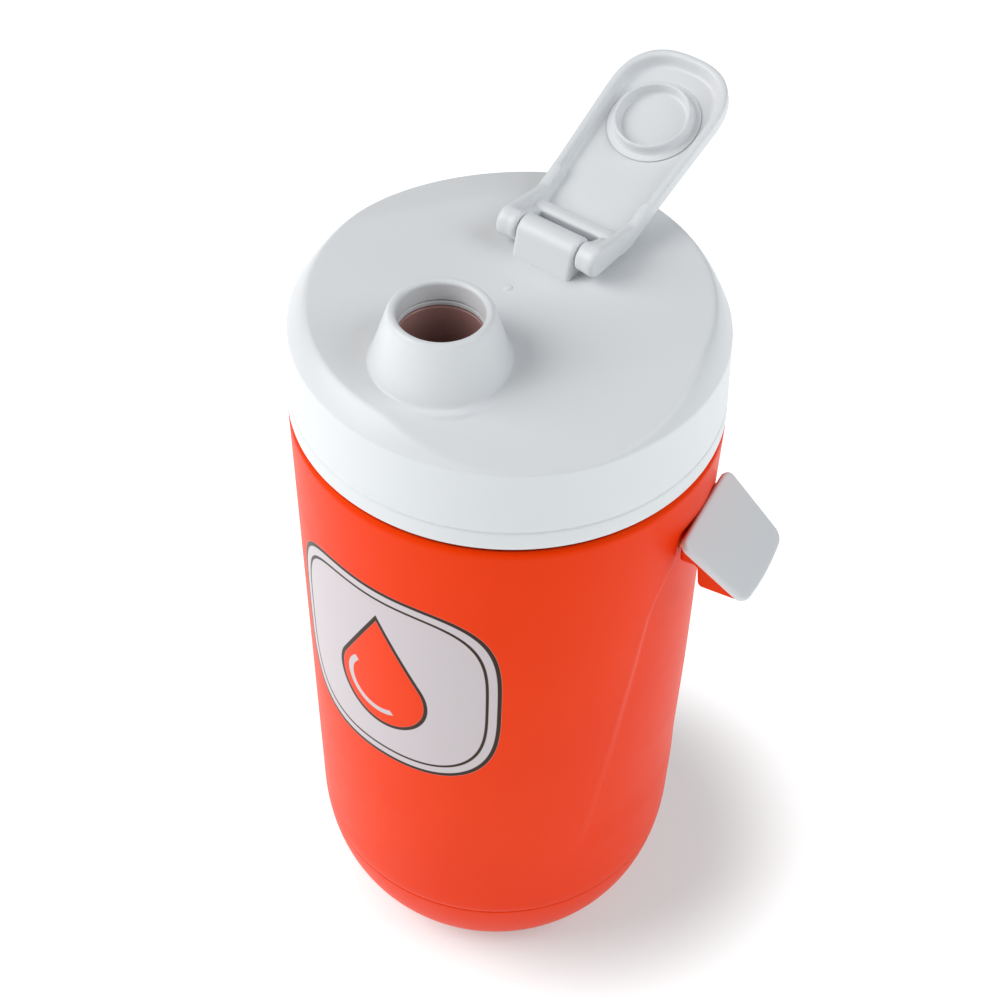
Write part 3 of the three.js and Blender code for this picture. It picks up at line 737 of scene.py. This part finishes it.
def lid_top(x, y, thick=0.0):
    """Height of the lid's top above the seam, or of its inside when thick is more than 0."""
    top = PLATEAU - thick + RISE * y
    over = np.clip((np.hypot(x, y) - SHOULDER_R + 0.7 * thick) / (CREASE_R - SHOULDER_R), 0, 1)
    dome = top - (top - CREASE + 0.5 * thick) * over ** 1.35
    band = top + 0.06
    for turn, start in BAND_SIDES:
        way = math.radians(turn)
        band = band - BAND_SLOPE * softly_over(x * math.cos(way) + y * math.sin(way) - start, 2.2)
    ledge = top - LEDGE_SLOPE * softly_over(np.hypot(x, y - SPOUT_Y) - LEDGE_R, 0.7)
    band = band + softly_over(ledge - band, 0.25)
    return dome - softly_over(dome - band, 0.9) + 0.1


# %% The lid's loops
COLUMNS = 288
round_turns = np.linspace(0, 2 * math.pi, COLUMNS, endpoint=False)
ways = np.stack([np.cos(round_turns), np.sin(round_turns)], 1)
shoulder_points = SHOULDER_R * ways
from_spout = shoulder_points - np.array([0, SPOUT_Y])
spout_ways = from_spout / np.linalg.norm(from_spout, axis=1)[:, None]
spout_centre = np.array([0, SPOUT_Y])


def spout_loop(r, z):
    return np.c_[spout_centre + r * spout_ways, np.full(COLUMNS, z)]


def lid_loop(r, z):
    return np.c_[r * ways, np.full(COLUMNS, z)]


hole = soft_corners([(14.9, 34.6), (14.9, 48.5), (12.7, 48.5), (12.7, SPOUT_TOP - 0.8), (13.5, SPOUT_TOP),
                     (14.8, SPOUT_TOP), (15.7, 54.2), (19.0, 43.4)], 0.7, 5, closed=False)[1:-1]
loops = [spout_loop(14.9, z) for z in (35.4, 40.0, 44.5)] + [spout_loop(r, z) for r, z in hole]
for r in (19.0, 19.6, 20.0, 20.4, 20.8, 21.2, 21.6, 22.0, 22.5, 23.0, 23.4, 23.8, 24.2, 24.6, 25.0, 25.6):
    flat = spout_centre + r * spout_ways
    top, cone = lid_top(*flat.T), 43.4 - 3.2 * (r - 19.0)
    loops.append(np.c_[flat, top + softly_over(cone - top, 0.6)])
for t in np.linspace(0, 1, 46)[1:]:
    flat = spout_centre + 25.6 * spout_ways + t * (shoulder_points - spout_centre - 25.6 * spout_ways)
    loops.append(np.c_[flat, lid_top(*flat.T)])
for r in np.linspace(SHOULDER_R, CREASE_R, 23)[1:]:
    flat = r * ways
    loops.append(np.c_[flat, lid_top(*flat.T)])
skirt = soft_corners([(CREASE_R, 29.6), (67.7, 8.3), (67.35, 8.0), (67.35, 7.5), (67.75, 7.2), (68.0, 1.6),
                      (66.8, 0.0), (65.3, 0.0), (64.3, 26.0)], 0.7, 4, closed=False)[1:]
loops += [lid_loop(CREASE_R + t, 29.6 - 21.3 * t) for t in (0.02, 0.2, 0.4, 0.6, 0.8)]
loops += [lid_loop(r, z) for r, z in skirt]
for t in np.linspace(0, 1, 9):
    flat = (64.3 - 4.9 * t) * ways
    loops.append(np.c_[flat, np.maximum(lid_top(*flat.T, 2.2), 26.2)])
for t in np.linspace(0, 1, 9)[1:]:
    flat = 59.4 * ways + t * (spout_centre + 22.0 * spout_ways - 59.4 * ways)
    loops.append(np.c_[flat, lid_top(*flat.T, 2.2)])
loops += [spout_loop(21.8, 34.9), spout_loop(21.4, 34.6), spout_loop(15.6, 34.6), spout_loop(15.0, 34.8)]
loops.reverse()
lid_points = np.concatenate(loops)
lid_points[:, 2] += SEAM
lid_faces = loops_to_faces(len(loops), COLUMNS, True)

# %% The moulding's gate mark, a small nub left at the middle of the top
nub = turned([(0, -1), (1.5, -1), (1.4, 0.25), (0.8, 0.5), (0, 0.5)], 0.4, 32)
nub_at = np.array([-2.6, 2.0, SEAM + float(lid_top(-2.6, 2.0))])
nub = ([tuple(np.array(p) + nub_at) for p in nub[0]], nub[1])
piece_of("lid_top_and_spout", *merged((lid_points, lid_faces), nub), white, "lid",
         ["lid_shell", "spout"], "white_plastic")

# %% [markdown]
# ## The flip cap
# The cap is a shallow tray with a raised rim, two arms that hold the hinge pin, and a bar between them.
# It is described with its hinge at the origin and its underside up, and then laid back to its open place.

# %% Mould the cap
cap_place = Matrix.Translation(Vector(HINGE)) @ Matrix.Rotation(CAP_OPEN, 4, "X")
PLUG_ALONG = HINGE[1] - SPOUT_Y
KNUCKLE = 4.8


def cap_rule(x, y, z):
    wide = 17.6 + 2.0 * np.clip((y - 8.6) / 49.4, 0, 1)
    around = ((np.abs(x) / wide) ** 2.5 + (np.maximum(y - 58.8, 0) / 19.6) ** 2.5) ** 0.4
    edge = (around - 1) * 19.2
    tray = both(both(both(edge, -11.2 - z, 2.2), z + 5, 0.7), 8.6 - y, 0.8)
    hollow = both(both(edge + 2.3 + 0.3 * np.clip(-5 - z, 0, 4), -9 - z, 1.3), 11.2 - y, 0.8)
    cap = without(tray, hollow, 0.45)
    knuckle = arc(0, 0, KNUCKLE, KNUCKLE, 58, 245, 24)
    rail = [(13, -11.2), (26, -11.0), (26, -5), (18, -5), *knuckle]
    cap = either(cap, both(outline(rail, y, z), np.abs(np.abs(x) - 16.1) - 1.5, 0.9), 0.9)
    end = [(8.4, -8), (8.4, -2.4), (5, 0.8), *knuckle]
    cap = either(cap, both(outline(end, y, z), np.abs(np.abs(x) - 14.3) - 3.3, 0.9), 0.9)
    bar = [(8.4, -8.6), (13.4, -9.4), (12.9, -4.4), (10.4, -3.0), (8.4, -3.4)]
    cap = either(cap, both(outline(bar, y, z), np.abs(x) - 15.5, 0.6), 0.8)
    heel = both(0.4186 * y + 0.908 * z + 4.73, y - 13)
    cap = without(cap, heel, 0.5)
    cap = without(cap, both(np.hypot(y, z) - 2.15, np.abs(x) - 14.9))
    from_plug = np.hypot(x, y - PLUG_ALONG)
    cap = without(cap, both(from_plug - 11.4, np.abs(z + 9) - 1))
    return without(cap, both(from_plug - 14.9, np.abs(z + 8.4) - 1, 0.2), 0.2)


piece_of("cap", *moulded(cap_rule, (-20, -6, -12), (20, 78, 6), 0.42), white, "cap", ["flip_cap"],
         "white_plastic", cap_place)

# %% Turn the stopper ring in the cap
stopper = turned([
    (0, -9.6), (11, -9.6), (11, -9.1), (14.8, -9.1), (14.8, -8.8), (13.9, -8.62), (12.9, -8.35), (12.4, -7.5),
    (12.2, -5.5), (11.8, -5), (11.4, -5), (11.1, -5.4), (10.7, -8.1), (10.1, -8.6), (0, -8.6)], 0.3, 128)
along = Matrix.Translation((0, PLUG_ALONG, 0))
piece_of("stopper", *stopper, white, "cap", ["cap_plug"], "white_plastic", cap_place @ along)

# %% [markdown]
# ## The hinge block and its pin
# The block stands on the lid between the cap's arms, with a round back for the pin to pass through.

# %% Mould the block and turn the pin
def block_rule(x, y, z):
    side = [(-6.2, -8.2), (-6.2, -6.5), *arc(0, 0, KNUCKLE, KNUCKLE, 176, 2, 24), (6, -6.1), (6, -8.2)]
    return both(outline(side, y, z), np.abs(x) - 10.5, 1.1)


piece_of("hinge_stand", *moulded(block_rule, (-11, -7, -9), (11, 7, 5), 0.35), white, "lid",
         ["hinge_block"], "white_plastic", Matrix.Translation(Vector(HINGE)))
pin = turned([(0, -14.5), (1.9, -14.5), (1.9, 14.5), (0, 14.5)], 0.5, 40)
sideways = Matrix.Translation(Vector(HINGE)) @ Matrix.Rotation(math.pi / 2, 4, "Y")
piece_of("pin", *pin, white, "lid", ["hinge_pin"], "white_plastic", sideways)

# %% [markdown]
# ## The hook and its plate
# The bracket is an orange moulding under a sloping white plate. Its lip hangs down in front of a throat,
# so that the jug can hang on a rail. Both are made facing +X and turned to the hook's side.

# %% Mould the bracket and the plate
to_hook = Matrix.Rotation(HOOK_TURN, 4, "Z")
PLATE_IN, PLATE_OUT = (68.6, SEAM - 18.2), (90.2, SEAM - 36.4)
PLATE_LENGTH = math.dist(PLATE_IN, PLATE_OUT)
fall = (PLATE_OUT[1] - PLATE_IN[1]) / (PLATE_OUT[0] - PLATE_IN[0])
lip_low, roof = SEAM - 39.4, SEAM - 30.9


def under_plate(x):
    return PLATE_IN[1] - 2.6 * math.hypot(1, fall) + fall * (x - PLATE_IN[0])


def bracket_rule(x, y, z):
    side = [(66.2, under_plate(66.2) - 0.5), (85.7, under_plate(85.7)), (86.8, under_plate(85.7) - 1.2),
            (86.4, lip_low + 0.8), (85.6, lip_low), (73.8, lip_low), (72.8, lip_low + 1.2), (72.1, roof - 1),
            (71.2, roof), (66.2, roof)]
    bracket = both(outline(side, x, z), np.abs(y) - 14, 1.2)
    for screw in (-8, 8):
        bore = np.hypot(y - screw, z - (SEAM - 27.2))
        bracket = without(bracket, either(bore - 1.8, both(bore - 2.7, 69.4 - x)))
    return bracket


piece_of("hook", *moulded(bracket_rule, (66, -14.5, lip_low - 1), (87, 14.5, SEAM - 17), 0.35), orange, "jug",
         ["hook_bracket"], "orange_plastic", to_hook)


def plate_rule(x, y, z):
    sides = (np.abs(y) - 18.9 + 0.0991 * x) * 0.995
    ends = both(-x - 0.5 + 0.0006 * y ** 2, x - PLATE_LENGTH - 0.95 + 0.005 * y ** 2)
    rounded = both(sides, ends, 3.4)
    return both(both(rounded, z, 0.8), -2.5 - z, 0.5)


lean_down = Matrix.Rotation(-math.atan2(PLATE_OUT[1] - PLATE_IN[1], PLATE_OUT[0] - PLATE_IN[0]), 4, "Y")
on_slope = to_hook @ Matrix.Translation((PLATE_IN[0], 0, PLATE_IN[1])) @ lean_down
piece_of("hook_plate", *moulded(plate_rule, (-1, -19, -3), (30, 19, 0.5), 0.3), white, "jug",
         ["hook_cover"], "white_plastic", on_slope)

# %% [markdown]
# ## Threads
# The neck has a thread outside and the lid has one inside. A thread follows a path, so one Geometry
# Nodes tree sweeps a small section along a helix, and its inputs give the radius, the pitch and the turns.

# %% The tree that sweeps a thread
tree, read = tree_with("helical_rib", {
    "Radius": 0.0585, "Start": 0.2325, "Pitch": 0.007, "Turns": 1.1, "Begin": 0.0, "Thickness": 0.0019,
    "Steps": 200})
line = Socket(tree).node("GeometryNodeCurvePrimitiveLine", {}, {"End": (1.0, 0.0, 0.0)})
points = line.node("GeometryNodeResampleCurve", {}, {"Curve": line, "Count": read["Steps"]})
along_x, _, _ = Socket(tree).node("GeometryNodeInputPosition").axes()
swing = (read["Begin"] + along_x * read["Turns"]) * (2 * math.pi)
rib_z = read["Start"] + along_x * read["Turns"] * read["Pitch"]
helix = points.node("GeometryNodeSetPosition", {}, {"Geometry": points, "Position": joined(
    read["Radius"] * swing.maths("COSINE"), read["Radius"] * swing.maths("SINE"), rib_z)})
taper = along_x.fade(0.0, 0.06).least(along_x.fade(1.0, 0.94)) * 0.8 + 0.2
ring = Socket(tree).node("GeometryNodeCurvePrimitiveCircle", {}, {
    "Resolution": 12, "Radius": read["Thickness"]}, "Curve")
rib = helix.node("GeometryNodeCurveToMesh", {}, {
    "Curve": helix, "Profile Curve": ring, "Scale": taper, "Fill Caps": True})
finish_tree(tree, rib, read["Finish"])
rib_tree = tree


def rib_shape(name, **values):
    """The points, in millimetres, and faces of a thread."""
    made = grown(name, rib_tree, {"Finish": lining, **values})
    shape = ([tuple(v.co / MM) for v in made.data.vertices], [tuple(p.vertices) for p in made.data.polygons])
    bpy.data.objects.remove(made)
    return shape


outer_thread = rib_shape("neck_thread")
inner_thread = rib_shape("lid_thread", Radius=0.0618, Start=(SEAM + 8.5) * MM, Turns=0.9, Begin=0.05)
print("the neck's thread has", len(outer_thread[1]), "faces")

# %% [markdown]
# ## Linings and seals
# The jug's inner liner, the lid's liner with its pour tube, and the seals are turned pieces. They show
# when the lid is lifted, and through the spout.

# %% Turn the liners
TUBE_R, TUBE_OUT = 12.5, 14.3
neck_top = SEAM + 21.6
liner = turned([
    (0, 12), *arc(41, 24, 12, 12, -90, 0, 10), (56.9, 216), (57.2, 221.6), (62.3, 221.6), (62.3, 224.1),
    (58.5, 224.1), (58.5, neck_top - 0.8), (57.7, neck_top), (56.1, neck_top), (55.5, neck_top - 0.6),
    (55.5, 222), (54.9, 216), *arc(41, 24, 10, 10, 0, -90, 10), (0, 14)], 0.6, 200)
piece_of("jug_liner", *merged(liner, outer_thread), lining, "jug", ["inner_liner"], "liner_plastic")
tube_top = SEAM + SPOUT_TOP - 7 - 2.2
lid_cup = turned([
    (0, SEAM + 22.2), (54.4, SEAM + 22.2), (54.4, SEAM + 24.3), (59.4, SEAM + 24.3), (59.4, SEAM + 22.2),
    (61.5, SEAM + 20.6), (61.5, SEAM + 1.2), (63.9, SEAM + 1.2), (63.9, SEAM + 26.5), (0, SEAM + 26.5)],
    0.5, 200)
tube = turned([
    (TUBE_R, SEAM + 20), (TUBE_OUT, SEAM + 20), (TUBE_OUT, tube_top), (TUBE_R, tube_top)], 0.5, 96)
tube = ([(x, y + SPOUT_Y, z) for x, y, z in tube[0]], tube[1])
print("liners turned")

# %% Bore the lid liner
def bored(shape, name):
    """The lid's liner with the spout's bore cut through it."""
    made = bpy.data.objects.new(name, bpy.data.meshes.new(name))
    made.data.from_pydata([tuple(np.array(p) * MM) for p in shape[0]], [], shape[1])
    bore_section = [(0, SEAM + 15), (TUBE_R, SEAM + 15), (TUBE_R, SEAM + 45), (0, SEAM + 45)]
    bore_points, bore_faces = turned(bore_section, 0.1, 96)
    bore = bpy.data.objects.new("bore", bpy.data.meshes.new("bore"))
    bore.data.from_pydata([(x * MM, (y + SPOUT_Y) * MM, z * MM) for x, y, z in bore_points], [], bore_faces)
    for part in (made, bore):
        bpy.context.scene.collection.objects.link(part)
    cut = made.modifiers.new("bore", "BOOLEAN")
    cut.object, cut.operation, cut.solver = bore, "DIFFERENCE", "EXACT"
    bpy.context.view_layer.update()
    mesh = bpy.data.meshes.new_from_object(made.evaluated_get(bpy.context.evaluated_depsgraph_get()))
    for part in (made, bore):
        bpy.data.objects.remove(part)
    return ([tuple(v.co / MM) for v in mesh.vertices], [tuple(p.vertices) for p in mesh.polygons])


lid_cup = bored(lid_cup, "lid_cup")
piece_of("lid_lining", *merged(lid_cup, tube, inner_thread), lining, "lid", ["lid_liner"], "liner_plastic")

# %% Turn the seals
gasket_low, gasket_high = neck_top + 0.4, SEAM + 23.9
gasket = turned([
    (54.9, gasket_low), (58.9, gasket_low), (58.9, gasket_high), (54.9, gasket_high)], 0.5, 160)
piece_of("mouth_gasket", *gasket, rubber, "lid_seal", ["lid_gasket"], "seal_rubber")
seal_top = SEAM + SPOUT_TOP - 7 - 0.3
seal_low = seal_top - 1.6
seal = turned([
    (12.8, seal_low), (TUBE_OUT, seal_low), (TUBE_OUT, seal_top), (12.8, seal_top)], 0.4, 96)
under_spout = Matrix.Translation((0, SPOUT_Y, 0))
piece_of("spout_washer", *seal, rubber, "lid", ["spout_seal"], "seal_rubber", under_spout)

# %% [markdown]
# ## What stays as it is
# The foam, the fill plugs, the screws and the inserts keep their own shapes, because they are
# hidden inside the walls or the hook. They take their finishes by their names.

# %% Finish the remaining nodes
kept = {"body_foam": foam, "lid_foam": foam, "foam_fill_plug": orange, "lid_fill_plug": orange,
        "hook_screw_1": steel, "hook_screw_2": steel, "hook_insert_1": brass, "hook_insert_2": brass}
for name, material in kept.items():
    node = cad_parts[name]
    node.data.materials.clear()
    node.data.materials.append(material)
print("kept", len(kept), "nodes and made", len(pieces), "pieces,", sum(pieces.values()), "triangles in all")

# %% [markdown]
# ## Floor, light and camera
# The jug stands on a white sheet. A broad soft light comes from the left and behind the camera, a weaker
# one from above on the right, and a faint one from the front. The sheet also glows a little, as paper
# lit from below does, and its glow is lowered in a soft round patch beside the jug, which is a painted
# shadow. So the ground is white, and the shade beside the jug, partly cast by the lights and partly
# painted, stays soft.

# %% The floor
# The centre of the round patch of painted shadow on the floor, in metres.
PAINTED_SHADOW_X, PAINTED_SHADOW_Y = 0.024, 0.016
FLOOR_HALF = 30.0


def floor_skin(place):
    tint = noise(place, 3, 1.0)
    colour = blend(tint.fade(0.2, 0.8), (0.54, 0.60, 0.605), (0.56, 0.62, 0.62))
    x, y, _ = place.axes()
    # Painted shadow: the floor's glow is lowered in a soft round patch beside the jug.
    away = ((x - PAINTED_SHADOW_X) ** 2 + (y - PAINTED_SHADOW_Y) ** 2).root()
    glow_with_painted_shadow = blend(away.fade(0.05, 0.108), (0.36, 0.39, 0.39), (1.0, 1.0, 1.0))
    return {"Base Color": colour, "Emission Color": glow_with_painted_shadow}


floor_finish = finish("white_sheet_with_painted_shadow", floor_skin, Roughness=0.9, Emission_Strength=0.8, Specular_IOR_Level=0.1)
corners = [(-FLOOR_HALF, -FLOOR_HALF, 0), (FLOOR_HALF, -FLOOR_HALF, 0),
           (FLOOR_HALF, FLOOR_HALF, 0), (-FLOOR_HALF, FLOOR_HALF, 0)]
floor_mesh = bpy.data.meshes.new("floor")
floor_mesh.from_pydata(corners, [], [(0, 1, 2, 3)])
floor_mesh.materials.append(floor_finish)
floor = bpy.data.objects.new("floor", floor_mesh)
bpy.context.scene.collection.objects.link(floor)

# %% The lights
def soft_light(name, turn, height, away, size, power, colour=(1, 1, 1), aim=(0, 0, 0.14)):
    """A square area light at a direction from +X in degrees, pointed at the jug."""
    data = bpy.data.lights.new(name, "AREA")
    data.shape, data.size, data.energy, data.color = "SQUARE", size, power, colour
    light = bpy.data.objects.new(name, data)
    t = math.radians(turn)
    light.location = (away * math.cos(t), away * math.sin(t), height)
    aim_way = Vector(aim) - light.location
    light.rotation_euler = aim_way.to_track_quat("-Z", "Y").to_euler()
    bpy.context.scene.collection.objects.link(light)
    return light


soft_light("key", -138, 1.15, 1.2, 1.1, 17.5)
soft_light("right_sky", 20, 1.05, 0.95, 0.8, 6.2, (0.92, 0.965, 1.0))
soft_light("front_fill", -45, 0.9, 1.3, 1.0, 1.5)
world = bpy.data.worlds.new("surroundings")
world.use_nodes = True
world.node_tree.nodes["Background"].inputs[0].default_value = (0.97, 0.985, 1.0, 1)
world.node_tree.nodes["Background"].inputs[1].default_value = 0.21
bpy.context.scene.world = world
bpy.context.scene.view_settings.view_transform = "Standard"

# %% The camera
camera_at, aim = Vector((0.25909, -0.36555, 0.64008)), Vector((-0.0011, -0.00078, 0.17934))
forward = (aim - camera_at).normalized()
right = forward.cross(Vector((0, 0, 1))).normalized()
up = right.cross(forward)
roll = math.radians(1.73)
right, up = right * math.cos(roll) + up * math.sin(roll), up * math.cos(roll) - right * math.sin(roll)
camera_data = bpy.data.cameras.new("camera")
camera_data.lens, camera_data.sensor_width = 70.5, 36
camera = bpy.data.objects.new("camera", camera_data)
bpy.context.scene.collection.objects.link(camera)
camera.matrix_world = Matrix.Translation(camera_at) @ Matrix((right, up, -forward)).transposed().to_4x4()
bpy.context.scene.camera = camera
